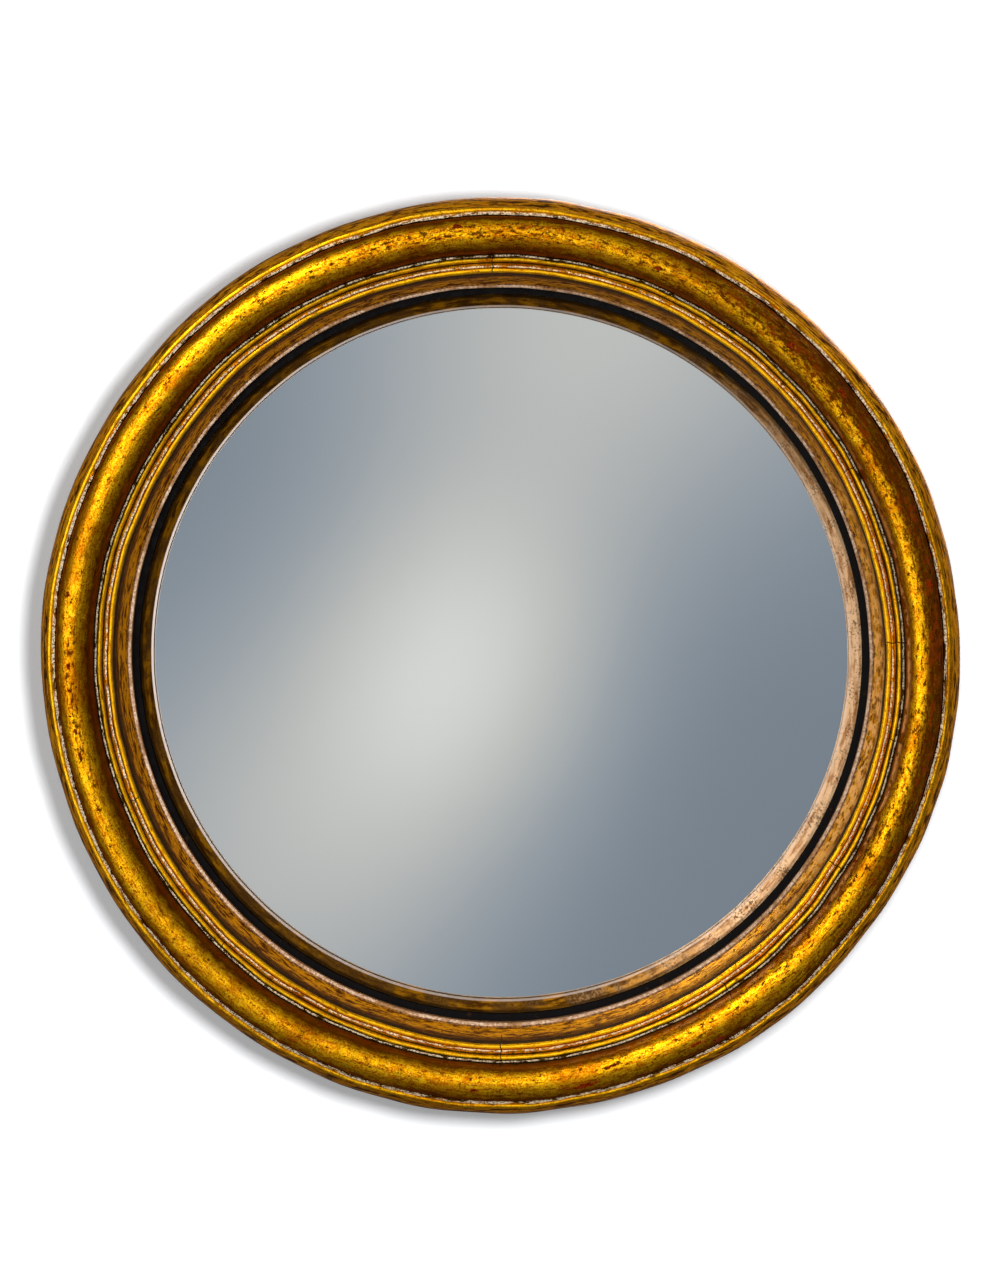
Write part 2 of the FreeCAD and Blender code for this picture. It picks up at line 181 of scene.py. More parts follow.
WORN_EVERYWHERE = 0.3
WORN_STRETCHES = (  # angle, half turn, radius, half width and amount of a darkly speckled stretch
    (6.0, 42.0, 224.6, 5.0, 0.75),
    (48.0, 20.0, 222.0, 8.0, 0.35),
    (95.0, 24.0, 221.0, 8.0, 0.25),
    (186.0, 13.0, 220.5, 2.6, 0.35),
    (290.0, 30.0, 227.0, 2.5, 0.25),
    (330.0, 20.0, 214.0, 4.0, 0.3),
)
# the pale edges get a painted highlight toward this side; the share everywhere is wear
LIT_SIDE_MIDDLE = 165.0
LIT_SIDE_HALF_TURN = 62.0
EDGE_WEAR_EVERYWHERE = 0.3
# a pinkish painted highlight on the inward faces of this side, where light falls
LIT_RIGHT_MIDDLE = 350.0
LIT_RIGHT_HALF_TURN = 50.0


# ---------------------------------------------------------------- sections


def run(*points):
    """Points joined by straight lines."""
    return [np.array(p, float) for p in points]


def bow(start, middle, end, count=24):
    """Points on the circle's arc from start through middle to end, ends included."""
    (ax, ay), (bx, by), (cx, cy) = start, middle, end
    d = 2 * (ax * (by - cy) + bx * (cy - ay) + cx * (ay - by))
    a2, b2, c2 = ax * ax + ay * ay, bx * bx + by * by, cx * cx + cy * cy
    ux = (a2 * (by - cy) + b2 * (cy - ay) + c2 * (ay - by)) / d
    uy = (a2 * (cx - bx) + b2 * (ax - cx) + c2 * (bx - ax)) / d
    first, through, last = (math.atan2(y - uy, x - ux) for x, y in (start, middle, end))
    turn = (last - first) % math.tau
    if (through - first) % math.tau > turn:
        turn -= math.tau
    radius = math.hypot(ax - ux, ay - uy)
    angles = first + turn * np.linspace(0, 1, count)
    return [np.array((ux + radius * math.cos(t), uy + radius * math.sin(t))) for t in angles]


def side_radius(depth):
    """Radius of the frame's outer side behind its widest line."""
    share = (depth - WIDEST_DEPTH) / (FRAME_DEPTH - WIDEST_DEPTH)
    return OUTER_RADIUS + share * (BACK_OUTER_RADIUS - OUTER_RADIUS)


def shoulder_middle():
    """Middle of the shoulder's arc, which leaves the outer side without a corner."""
    across = OUTER_RADIUS - SHOULDER_RADIUS
    down = WIDEST_DEPTH - SHOULDER_DEPTH
    radius = (across**2 + down**2) / (2 * across)
    half_angle = math.atan2(down, radius - across) / 2
    return (
        OUTER_RADIUS - radius * (1 - math.cos(half_angle)),
        WIDEST_DEPTH - radius * math.sin(half_angle),
    )


def shoulder():
    fillet_middle = ((SHOULDER_RADIUS + OUTER_ARRIS_RADIUS) / 2, FILLET_CROWN_DEPTH)
    arris_base = (OUTER_ARRIS_RADIUS, OUTER_ARRIS_DEPTH + STEP_DROP)
    return [
        *run((side_radius(JOINT_DEPTH), JOINT_DEPTH)),
        *bow((OUTER_RADIUS, WIDEST_DEPTH), shoulder_middle(), (SHOULDER_RADIUS, SHOULDER_DEPTH)),
        *bow((SHOULDER_RADIUS, FILLET_DEPTH), fillet_middle, arris_base),
        *run((OUTER_ARRIS_RADIUS, OUTER_ARRIS_DEPTH)),
    ]


def half_round(outer_radius, roll_radius, base_depth):
    centre = outer_radius - roll_radius
    return bow(
        (outer_radius, base_depth),
        (centre, base_depth - roll_radius),
        (centre - roll_radius, base_depth),
        48,
    )


def roll():
    outer_foot = ROLL_CENTRE_RADIUS + ROLL_RADIUS
    return [
        *run((outer_foot + QUIRK_WIDTH, OUTER_ARRIS_DEPTH)),
        *run((outer_foot + QUIRK_WIDTH / 2, QUIRK_DEPTH)),
        *half_round(outer_foot, ROLL_RADIUS, ROLL_RADIUS),
        *run((ROLL_FOOT_RADIUS, ROLL_FOOT_DEPTH)),
    ]


BEADS = (
    (FIRST_ARRIS_RADIUS, FIRST_ARRIS_DEPTH, FIRST_BEAD_RADIUS),
    (SECOND_ARRIS_RADIUS, SECOND_ARRIS_DEPTH, SECOND_BEAD_RADIUS),
)


def groove(arris_radius, arris_depth, bead):
    """Bottom of the small groove on the inner side of a bead."""
    return (
        arris_radius - BEAD_ARRIS_WIDTH - 2 * bead - QUIRK_WIDTH / 2,
        arris_depth + 2 * STEP_DROP + bead,
    )


def beads():
    points = []
    for radius, depth, bead in BEADS:
        bead_outer = radius - BEAD_ARRIS_WIDTH
        points += run((radius, depth), (bead_outer, depth))
        points += half_round(bead_outer, bead, depth + STEP_DROP + bead)
        points += run(groove(radius, depth, bead))
    return points


def front_section():
    cove = bow(
        (COVE_TOP_RADIUS, COVE_TOP_DEPTH),
        (COVE_BELLY_RADIUS, COVE_BELLY_DEPTH),
        (COVE_FOOT_RADIUS, JOINT_DEPTH),
    )
    return [*shoulder(), *roll(), *beads(), *cove]


def back_section():
    nose = (LIP_RADIUS + LIP_NOSE_REACH, JOINT_DEPTH + LIP_NOSE_DROP)
    return [
        *run((side_radius(JOINT_DEPTH), JOINT_DEPTH)),
        *bow((COVE_FOOT_RADIUS, JOINT_DEPTH), nose, (LIP_RADIUS, LIP_NOSE_DEPTH)),
        *run((LIP_RADIUS, LIP_BACK_DEPTH), (REBATE_RADIUS, LIP_BACK_DEPTH)),
        *run((REBATE_RADIUS, BOARD_DEPTH), (BOARD_REBATE_RADIUS, BOARD_DEPTH)),
        *run((BOARD_REBATE_RADIUS, FRAME_DEPTH), (side_radius(FRAME_DEPTH), FRAME_DEPTH)),
    ]


def dome_depth(radius, inset=0.0):
    """Depth of the glass's front face at a radius, or of a face that lies inset behind it."""
    return DOME_CROWN_DEPTH + DOME_RADIUS - math.sqrt((DOME_RADIUS - inset) ** 2 - radius**2)


def sight_section():
    outer = REBATE_RADIUS - SLIP_GAP
    flange_top = LIP_BACK_DEPTH + EBONISED_THICKNESS
    seat = dome_depth(SIGHT_RADIUS) - GLASS_GAP
    flange_back = dome_depth(GLASS_RADIUS) - GLASS_GAP
    return run(
        (outer, flange_top),
        (SIGHT_OUTER_RADIUS, flange_top),
        (SIGHT_OUTER_RADIUS, SIGHT_TOP_DEPTH),
        (SIGHT_RADIUS, seat - SIGHT_NOSE),
        (SIGHT_RADIUS, seat),
        (GLASS_RADIUS, flange_back),
        (outer, flange_back),
    )


def softened(section, coarse=1.1, points_per_radian=3.0, hidden_depth=None):
    """The closed section with its corners rubbed round, as points that crowd where it bends."""
    corners = np.array([*section, section[0]])
    walked = np.concatenate([[0], np.cumsum(np.hypot(*np.diff(corners, axis=0).T))])
    fine = 0.05
    count = int(walked[-1] / fine)
    stations = np.arange(count) * walked[-1] / count
    dense = np.stack([np.interp(stations, walked, corners[:, k]) for k in (0, 1)], axis=1)
    reach = int(4 * SOFTENING / fine)
    kernel = np.exp(-0.5 * (np.arange(-reach, reach + 1) * fine / SOFTENING) ** 2)
    kernel /= kernel.sum()
    wrapped = np.concatenate([dense[-reach:], dense, dense[:reach]])
    smooth = np.stack([np.convolve(wrapped[:, k], kernel, "valid") for k in (0, 1)], axis=1)
    step = np.roll(smooth, -1, axis=0) - smooth
    heading = np.unwrap(np.arctan2(step[:, 1], step[:, 0]))
    bend = np.abs(np.gradient(heading))
    need = np.hypot(*step.T) / coarse + points_per_radian * np.convolve(bend, np.ones(9) / 9, "same")
    if hidden_depth is not None:
        need[np.abs(smooth[:, 1] - hidden_depth) < 0.01] *= 0.15
    total = np.concatenate([[0], np.cumsum(need)])
    wanted = np.linspace(0, total[-1], int(total[-1]) + 1)[:-1]
    closed = np.concatenate([smooth, smooth[:1]])
    return np.stack([np.interp(wanted, total, closed[:, k]) for k in (0, 1)], axis=1)


# ---------------------------------------------------------------- unevenness


class Waves:
    """A smooth random field over the frame that closes round the ring."""

    def __init__(self, seed, size, around, across, count=36):
        draw = np.random.default_rng(seed)
        self.turns = draw.integers(around[0], around[1], count)
        direction = draw.uniform(0, math.pi, count)
        steepness = draw.uniform(0.2, 1.0, count) * math.tau / across
        self.by_radius = steepness * np.cos(direction)
        self.by_depth = steepness * np.sin(direction)
        self.start = draw.uniform(0, math.tau, count)
        self.size = size * math.sqrt(2 / count)

    def at(self, radius, depth, angle):
        total = 0.0
        for m, kr, kd, start in zip(self.turns, self.by_radius, self.by_depth, self.start):
            total = total + np.cos(m * angle + kr * radius + kd * depth + start)
        return total * self.size


DRIFT = (Waves(11, 0.28, (2, 11), 70), Waves(12, 0.16, (2, 9), 70))
WAVER = (Waves(21, 0.13, (8, 42), 16), Waves(22, 0.10, (8, 42), 16))
RIPPLE = Waves(31, 0.035, (40, 190), 9)
CHIPPING = Waves(41, 1.0, (90, 420), 30)


def near(points, place, reach):
    """How close each section point is to a place, from 1 there to 0 well beyond the reach."""
    gap = np.hypot(points[..., 0] - place[0], points[..., 1] - place[1])
    return np.exp(-((gap / reach) ** 2))


def arris_tops():
    """The middle of each narrow flat that the gesso shows on."""
    outer_flat = (OUTER_ARRIS_RADIUS + ROLL_CENTRE_RADIUS + ROLL_RADIUS + QUIRK_WIDTH) / 2
    tops = [((outer_flat, OUTER_ARRIS_DEPTH), 1.0)]
    tops += [((r - BEAD_ARRIS_WIDTH / 2, d), 0.75) for r, d, _ in BEADS]
    return tops


def hollows():
    """The bottom of each quirk and groove, with how far its dark dirt and painted shade spread."""
    outer_quirk = (ROLL_CENTRE_RADIUS + ROLL_RADIUS + QUIRK_WIDTH / 2, QUIRK_DEPTH - 0.6)
    places = [(outer_quirk, 2.4), ((ROLL_FOOT_RADIUS + 0.1, ROLL_FOOT_DEPTH), 2.2)]
    places += [(groove(*sizes), 0.75) for sizes in BEADS]
    places += [((COVE_TOP_RADIUS, COVE_TOP_DEPTH + 1.0), 1.6)]
    return places


def bead_crowns():
    return [(r - BEAD_ARRIS_WIDTH - bead, d + STEP_DROP) for r, d, bead in BEADS]


def finish_marks(points):
    """Where each finish, painted shade and painted highlight lies across the section, as values from 0
    to 1 for every point.
    """
    radius, depth = points[:, 0], points[:, 1]
    fillet = ((SHOULDER_RADIUS + OUTER_ARRIS_RADIUS) / 2, FILLET_CROWN_DEPTH + 0.2)
    marks = {
        "gesso": sum(near(points, place, reach) for place, reach in arris_tops()),
        "hollow": sum(near(points, place, reach) for place, reach in hollows()),
        "band": np.clip((radius - SHOULDER_RADIUS + 0.3) / 0.6, 0, 1),
        "fillet": near(points, fillet, 1.0),
        # painted shade down both sides of the roll, darker toward its feet
        "slope_shade": np.clip((depth - 0.5) / 5, 0, 1) * (radius > ROLL_FOOT_RADIUS) * (radius < 230.5),
        # where the pinkish painted highlight on the roll's inner foot lies
        "foot": near(points, (ROLL_FOOT_RADIUS + 1.4, 6.8), 2.2),
        "bead": sum(near(points, place, 1.15) for place in bead_crowns()),
        "cove": np.clip((depth - COVE_TOP_DEPTH) / 1.5, 0, 1) * (radius < SECOND_ARRIS_RADIUS),
        "lip": near(points, (LIP_RADIUS + 0.9, JOINT_DEPTH + 1.0), 2.2),
        "lip_edge": near(points, (LIP_RADIUS + 0.4, JOINT_DEPTH + 1.2), 1.7),
        # where the painted shade under the second bead lies in the cove
        "cove_top": near(points, (COVE_TOP_RADIUS - 0.6, COVE_TOP_DEPTH + 3.5), 4.2),
    }
    return {key: np.clip(value, 0, 1) for key, value in marks.items()}


def gap_deg(angle_deg, place):
    """The signed turn from a place to an angle, from -180 to 180."""
    return (angle_deg - place + 180) % 360 - 180


def bole_marks(radius, depth, angle_deg):
    """Spots rubbed through the gold to the red bole, from 0 to 1 at their middles."""
    total = np.zeros(np.broadcast(radius, angle_deg).shape)
    for place, middle, half_length, half_width in BOLE_SPOTS:
        around = np.radians(gap_deg(angle_deg, place)) * middle / half_length
        spot = np.exp(-(around**2) - ((radius - middle) / half_width) ** 2)
        total = np.maximum(total, spot * (depth < ROLL_RADIUS))
    return total


def worn_marks(radius, angle_deg):
    """How densely the gold is speckled with dark wear."""
    total = np.full(np.broadcast(radius, angle_deg).shape, WORN_EVERYWHERE)
    for place, half_turn, middle, half_width, amount in WORN_STRETCHES:
        around = gap_deg(angle_deg, place) / half_turn
        total = total + amount * np.exp(-(around**2) - ((radius - middle) / half_width) ** 2)
    return np.clip(total, 0, 1)


def ring_side(radius, angle_deg, middle, half_turn):
    """1 at one side of the ring, fading round to 0, and the same at every radius."""
    around = gap_deg(angle_deg, middle) / half_turn
    return np.exp(-(around**2)) + np.zeros_like(radius)


def edge_wear_and_lit_side_marks(radius, angle_deg):
    """How pale the innermost edges are: a little worn to the gesso everywhere, with a painted
    highlight that grows toward the side where light falls.
    """
    side = ring_side(radius, angle_deg, LIT_SIDE_MIDDLE, LIT_SIDE_HALF_TURN)
    return EDGE_WEAR_EVERYWHERE + (1 - EDGE_WEAR_EVERYWHERE) * side


def lit_right_side_marks(radius, angle_deg):
    """Where the pinkish painted highlight goes: the side whose inward faces the light falls on."""
    return ring_side(radius, angle_deg, LIT_RIGHT_MIDDLE, LIT_RIGHT_HALF_TURN)


def crack_marks(radius, angle_deg):
    """How deep in a crack each point of the ring lies, from 0 to 1."""
    total = np.zeros(np.broadcast(radius, angle_deg).shape)
    for place, inner, outer in CRACKS:
        place = place + CRACK_WANDER_DEG * np.sin(1.3 * radius + place)
        along = np.clip((radius - inner) / 0.4, 0, 1) * np.clip((outer - radius) / 0.4, 0, 1)
        across = np.radians(gap_deg(angle_deg, place)) * radius / CRACK_WIDTH
        total = np.maximum(total, along * np.exp(-(across**2)))
    return total


def stations(start, sweep, steps, extra):
    """Angles from start to start + sweep in degrees, finer beside the ends and in the cracks."""
    angles = list(np.linspace(start, start + sweep, steps + 1))
    offsets = (0.02, 0.05, 0.09, 0.14, 0.2)
    if sweep < 360:
        angles += [start + d for d in offsets] + [start + sweep - d for d in offsets]
    for place in extra:
        turned = start + (place - start) % 360
        if turned < start + sweep:
            angles += [turned] + [turned + s * d for d in offsets for s in (-1, 1)]
    inside = [a for a in angles if start <= a <= start + sweep]
    return np.array(sorted(set(round(a, 6) for a in inside)))


def uneven(section, angle, start, sweep):
    """The section at every angle, wavering as hand-finished wood and gesso do."""
    base = section[None, :, :]
    radius, depth = base[..., 0], base[..., 1]
    turn = np.radians(angle)[:, None]
    firm = 1 - np.clip((depth - FIRM_FROM_DEPTH) / FIRM_OVER_DEPTH, 0, 1) * FIRM_SHARE
    marks = finish_marks(section)
    drift_r = DRIFT[0].at(radius, depth, turn) + WAVER[0].at(radius, depth, turn)
    drift_d = DRIFT[1].at(radius, depth, turn) + WAVER[1].at(radius, depth, turn)
    ripple = RIPPLE.at(radius, depth, turn)
    chipped = np.clip(CHIPPING.at(radius, depth, turn) - 0.5, 0, 1) * marks["gesso"]
    cracked = crack_marks(radius, angle[:, None])
    flats = sum(
        size * np.exp(-((gap_deg(angle[:, None], place) / FLAT_REACH_DEG) ** 2))
        for place, size in FLATS
    )
    outer = np.clip((radius - OUTER_FROM_RADIUS) / OUTER_OVER_RADIUS, 0, 1)
    seam = np.zeros_like(angle)
    if sweep < 360:
        from_end = np.minimum(angle - start, start + sweep - angle)
        seam = np.exp(-((np.radians(from_end) * SEAM_RADIUS / SEAM_WIDTH) ** 2))
    seam_inset = np.where(depth < JOINT_DEPTH - 0.1, SEAM_FRONT_INSET, SEAM_BACK_INSET)
    shown_seam = seam_inset * seam[:, None]
    inset = OUTLINE_INSET * outer + flats * outer + shown_seam * outer
    r = radius + (drift_r + 0.5 * ripple) * firm - inset * firm
    crown = CROWN_INSET * np.clip(1 - depth / CROWN_INSET_DEPTH, 0, 1)
    d = depth + (drift_d + ripple) * firm + crown
    d = d + CHIP_DEPTH * chipped + CRACK_DEPTH * cracked
    return np.minimum(r, OUTER_RADIUS - 0.01), np.maximum(d, 0.03), chipped, cracked


# ---------------------------------------------------------------- meshes


def set_attribute(mesh, name, values):
    values = np.ascontiguousarray(values, np.float32)
    kind, key = ("FLOAT_VECTOR", "vector") if values.ndim == 2 else ("FLOAT", "value")
    mesh.attributes.new(name, kind, "POINT").data.foreach_set(key, values.ravel())


def ring_mesh(name, radius, depth, angle, closed):
    """A closed mesh from a grid of stations (rows) by section points (columns)."""
    rows, columns = radius.shape
    turn = np.radians(angle)[:, None]
    y = (depth - TOTAL_DEPTH) * MM
    points = np.stack([radius * MM * np.cos(turn), y, radius * MM * np.sin(turn)], axis=-1)
    index = np.arange(rows * columns).reshape(rows, columns)
    after = np.roll(index, -1, axis=0) if closed else index[1:]
    here = index if closed else index[:-1]
    quads = np.stack(
        [here, np.roll(here, -1, axis=1), np.roll(after, -1, axis=1), after], axis=-1
    ).reshape(-1, 4)
    faces = quads.tolist()
    if not closed:
        faces += [index[0, ::-1].tolist(), index[-1].tolist()]
    mesh = bpy.data.meshes.new(name)
    mesh.from_pydata(points.reshape(-1, 3).tolist(), [], faces)
    smooth = np.ones(len(faces), bool)
    if not closed:
        smooth[-2:] = False
    mesh.polygons.foreach_set("use_smooth", smooth)
    mesh.update()
    return mesh


def piece(name, mesh, material, node):
    """Puts a mesh in the scene as the look of a CAD node."""
    thing = bpy.data.objects.new(name, mesh)
    bpy.context.scene.collection.objects.link(thing)
    mesh.materials.append(material)
    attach(thing, "mirror")
    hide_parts(node)
    return thing


def ring_piece(name, section, start, sweep, steps, material, node):
    """A stretch of moulding swept round the frame, with the marks that its material reads."""
    whole = sweep >= 360
    angle = stations(start, sweep, steps, [c[0] for c in CRACKS])
    if whole:
        angle = angle[:-1]
    radius, depth, chipped, cracked = uneven(section, angle, start, sweep)
    mesh = ring_mesh(name, radius, depth, angle, whole)
    shape = radius.shape
    walked = np.concatenate([[0], np.cumsum(np.hypot(*np.diff(section, axis=0).T))]) * MM
    turn = np.radians(angle)[:, None]
    middle = ROLL_CENTRE_RADIUS * MM
    place = np.stack(
        [
            np.broadcast_to(walked, shape),
            np.broadcast_to(middle * np.cos(turn), shape),
            np.broadcast_to(middle * np.sin(turn), shape),
        ],
        axis=-1,
    )
    set_attribute(mesh, "ring_place", place.reshape(-1, 3))
    turned = np.radians(angle - start - sweep / 2)[:, None]
    grain = np.stack(
        [radius * MM * np.sin(turned), depth * MM, radius * MM * np.cos(turned) + start], axis=-1
    )
    set_attribute(mesh, "grain_place", grain.reshape(-1, 3))
    for key, value in finish_marks(section).items():
        set_attribute(mesh, key, np.broadcast_to(value, shape).ravel())
    plain_radius, plain_depth = section[None, :, 0], section[None, :, 1]
    marks = {
        "bole": bole_marks(plain_radius, plain_depth, angle[:, None]),
        "worn": worn_marks(plain_radius, angle[:, None]),
        "wear_and_lit_side": edge_wear_and_lit_side_marks(plain_radius, angle[:, None]),
        "lit_right_side": lit_right_side_marks(plain_radius, angle[:, None]),
        "chipped": chipped,
        "cracked": cracked,
    }
    for key, value in marks.items():
        set_attribute(mesh, key, value.ravel())
    return piece(name, mesh, material, node)


# ---------------------------------------------------------------- material nodes


def srgb(red, green, blue):
    """A colour named by its screen values, from 0 to 255."""
    parts = [c / 255 for c in (red, green, blue)]
    linear = [c / 12.92 if c <= 0.04045 else ((c + 0.055) / 1.055) ** 2.4 for c in parts]
    return (*linear, 1.0)


class Graph:
    """Short calls that build the nodes of a material or of the world."""

    def __init__(self, owner, output):
        self.owner = owner
        owner.use_nodes = True
        self.tree = owner.node_tree
        self.tree.nodes.clear()
        self.output = self.node(output)

    def node(self, kind, inputs=None, **settings):
        made = self.tree.nodes.new("ShaderNode" + kind)
        for key, value in settings.items():
            setattr(made, key, value)
        for key, value in (inputs or {}).items():
            self.put(made.inputs[key], value)
        return made

    def put(self, socket, value):
        if isinstance(value, bpy.types.NodeSocket):
            self.tree.links.new(value, socket)
        else:
            socket.default_value = value

    def mark(self, name):
        """A value stored on the mesh."""
        return self.node("Attribute", attribute_name=name).outputs["Fac"]

    def place(self, name="ring_place", stretch=(1.0, 1.0, 1.0)):
        """The stored place on the ring, with its axes stretched."""
        if name:
            source = self.node("Attribute", attribute_name=name).outputs["Vector"]
        else:
            source = self.node("TexCoord").outputs["Object"]
        scaled = self.node("VectorMath", {0: source, 1: stretch}, operation="MULTIPLY")
        return scaled.outputs["Vector"]

    def noise(self, place, size, detail=3.0, rough=0.55):
        """Soft noise from about 0.3 to 0.7, with cells about size millimetres across."""
        inputs = {"Vector": place, "Scale": 1 / (size * MM), "Detail": detail, "Roughness": rough}
        return self.node("TexNoise", inputs).outputs["Fac"]

    def math(self, operation, *values):
        inputs = dict(enumerate(values))
        return self.node("Math", inputs, operation=operation).outputs[0]

    def times(self, *values):
        total = values[0]
        for value in values[1:]:
            total = self.math("MULTIPLY", total, value)
        return total

    def less(self, value, amount=1.0):
        """1 - amount * value."""
        return self.math("MULTIPLY_ADD", value, -amount, 1.0)

    def plus(self, first, second):
        return self.math("ADD", first, second)

    def band(self, value, low, high, start=0.0, end=1.0):
        """A smooth step from start to end as the value goes from low to high."""
        inputs = {"Value": value, "From Min": low, "From Max": high, "To Min": start, "To Max": end}
        made = self.node("MapRange", inputs, interpolation_type="SMOOTHSTEP")
        return made.outputs["Result"]

    def mix(self, factor, first, second):
        made = self.node("Mix", {0: factor, 6: first, 7: second}, data_type="RGBA")
        return made.outputs[2]

    def bump(self, height, reach=1.0):
        """Surface relief from a height in millimetres."""
        made = self.node("Bump", {"Height": height, "Distance": MM * reach, "Strength": 1.0})
        return made.outputs["Normal"]

    def shade(self, **sockets):
        """Ends the material with one principled shader."""
        names = {key.replace("_", " ").title(): value for key, value in sockets.items()}
        names = {key.replace("Ior", "IOR"): value for key, value in names.items()}
        surface = self.node("BsdfPrincipled", names)
        self.end(surface.outputs["BSDF"])
        return self.owner

    def end(self, surface):
        """Sends a shader to the output."""
        self.tree.links.new(surface, self.output.inputs["Surface"])


def material_graph(name):
    return Graph(bpy.data.materials.new(name), "OutputMaterial")


# ---------------------------------------------------------------- materials


def gilding():
    """Old water gilding over red bole and gesso: painted shade down the roll's sides, which leaves the
    crown bright, painted highlights on the fillet and beads, dirt and painted shade in the quirks.
    """
    g = material_graph("gilded_wood")
    place = g.place()
    fleck = g.noise(g.place(stretch=(2.0, 1.0, 1.0)), 3.6, 5.0, 0.72)
    fine = g.noise(place, 0.9, 2.0, 0.6)
    patch = g.noise(place, 6.0, 4.0, 0.6)
    cloud = g.noise(place, 26.0, 3.0)
    streak = g.noise(g.place(stretch=(4.5, 1.0, 1.0)), 6.0, 5.0, 0.65)
    brushed = g.noise(g.place(stretch=(7.0, 1.0, 1.0)), 9.0, 5.0, 0.65)
    smudge = g.noise(g.place(stretch=(1.6, 1.0, 1.0)), 7.0, 5.0, 0.7)
    hollow, gesso, band = g.mark("hollow"), g.mark("gesso"), g.mark("band")
    slope_shade, foot, lit_right_side, worn = g.mark("slope_shade"), g.mark("foot"), g.mark("lit_right_side"), g.mark("worn")
    wear_and_lit_side = g.mark("wear_and_lit_side")
    # painted highlight on the fillet and bead crowns, bright whatever the light, the fillet's
    # strongest on the lit side
    fillet = g.times(g.mark("fillet"), g.band(wear_and_lit_side, EDGE_WEAR_EVERYWHERE, 0.8, 0.3, 1.0))
    raised = g.plus(fillet, g.mark("bead"))

    gold = g.mix(g.band(streak, 0.36, 0.60), srgb(204, 112, 0), srgb(255, 188, 8))
    gold = g.mix(g.band(fine, 0.52, 0.66, 0.0, 0.6), gold, srgb(255, 212, 60))
    gold = g.mix(g.band(fine, 0.48, 0.34, 0.0, 0.65), gold, srgb(128, 52, 0))
    gold = g.mix(g.band(cloud, 0.50, 0.64, 0.0, 0.45), gold, srgb(172, 74, 0))
    painted_gleam = g.times(raised, g.band(g.plus(brushed, g.times(g.plus(fleck, -0.5), 0.5)), 0.36, 0.52))
    gold = g.mix(painted_gleam, gold, srgb(255, 192, 26))
    # painted shade on the roll's sides, darker toward the feet
    shadowed = g.band(g.plus(slope_shade, g.times(g.plus(patch, -0.5), 1.3)), 0.12, 0.8)
    gold = g.mix(g.times(shadowed, 0.88), gold, srgb(92, 36, 0))
    gold = g.mix(g.band(worn, 0.50, 0.95, 0.0, 0.75), gold, srgb(112, 56, 2))
    # pinkish painted highlight on the lit side's roll foot and cove
    painted_pink_light = g.times(g.plus(foot, g.mark("cove")), lit_right_side, g.band(patch, 0.40, 0.56))
    gold = g.mix(g.times(painted_pink_light, 0.85), gold, srgb(230, 166, 96))
    cove_gold = g.mix(g.band(brushed, 0.42, 0.56), srgb(78, 34, 0), srgb(210, 136, 8))
    gold = g.mix(g.times(g.mark("cove"), g.less(painted_pink_light)), gold, cove_gold)
    # painted shade in the upper cove under the second bead, lighter on the lit side
    painted_cove_shade = g.band(g.plus(g.mark("cove_top"), g.times(g.plus(brushed, -0.5), 1.2)), 0.30, 0.85)
    gold = g.mix(g.times(painted_cove_shade, g.less(lit_right_side, 0.7), 0.85), gold, srgb(46, 22, 0))

    wear = g.plus(fleck, g.times(g.plus(worn, -0.5), 0.20))
    speckled = g.times(g.band(wear, 0.53, 0.60), g.less(painted_gleam, 0.6))
    smudged = g.band(g.plus(smudge, g.times(g.plus(worn, -0.5), 0.16)), 0.58, 0.66)
    scratched = g.band(g.plus(brushed, g.times(g.plus(worn, -0.5), 0.16)), 0.57, 0.63)
    bole = g.band(g.plus(g.mark("bole"), g.times(g.plus(fleck, -0.5), 2.2)), 0.34, 0.50)
    bole = g.times(bole, g.band(g.mark("bole"), 0.04, 0.12))
    # dark dirt in the quirks and grooves, dark enough to stand in for their shade too
    dirt_and_shade = g.band(g.plus(hollow, g.times(g.plus(patch, -0.5), 0.8)), 0.20, 0.62)
    crumbled = g.plus(g.times(gesso, g.band(streak, 0.40, 0.50)), g.times(g.plus(fleck, -0.5), 1.6))
    # bare gesso on the arrises, paler on the lit side as a painted highlight
    bare = g.times(g.band(crumbled, 0.45, 0.62), g.band(wear_and_lit_side, EDGE_WEAR_EVERYWHERE, 1.0, 0.72, 1.0))
    worn_band = g.times(band, g.band(brushed, 0.62, 0.46, 0.55, 1.0))
    cracked = g.band(g.mark("cracked"), 0.15, 0.7)

    colour = g.mix(g.times(speckled, 0.92), gold, srgb(46, 14, 0))
    colour = g.mix(g.times(scratched, 0.8), colour, srgb(78, 30, 0))
    colour = g.mix(g.times(smudged, 0.8), colour, srgb(98, 34, 2))
    brown = g.mix(g.band(brushed, 0.42, 0.56), srgb(54, 26, 2), srgb(176, 112, 14))
    colour = g.mix(worn_band, colour, brown)
    colour = g.mix(g.times(dirt_and_shade, 0.95), colour, srgb(18, 8, 1))
    colour = g.mix(bole, colour, g.mix(g.band(fine, 0.4, 0.6), srgb(60, 12, 1), srgb(124, 36, 4)))
    chalk = g.mix(g.band(fine, 0.38, 0.56), srgb(128, 92, 52), srgb(240, 222, 194))
    colour = g.mix(bare, colour, chalk)
    colour = g.mix(cracked, colour, srgb(22, 12, 6))

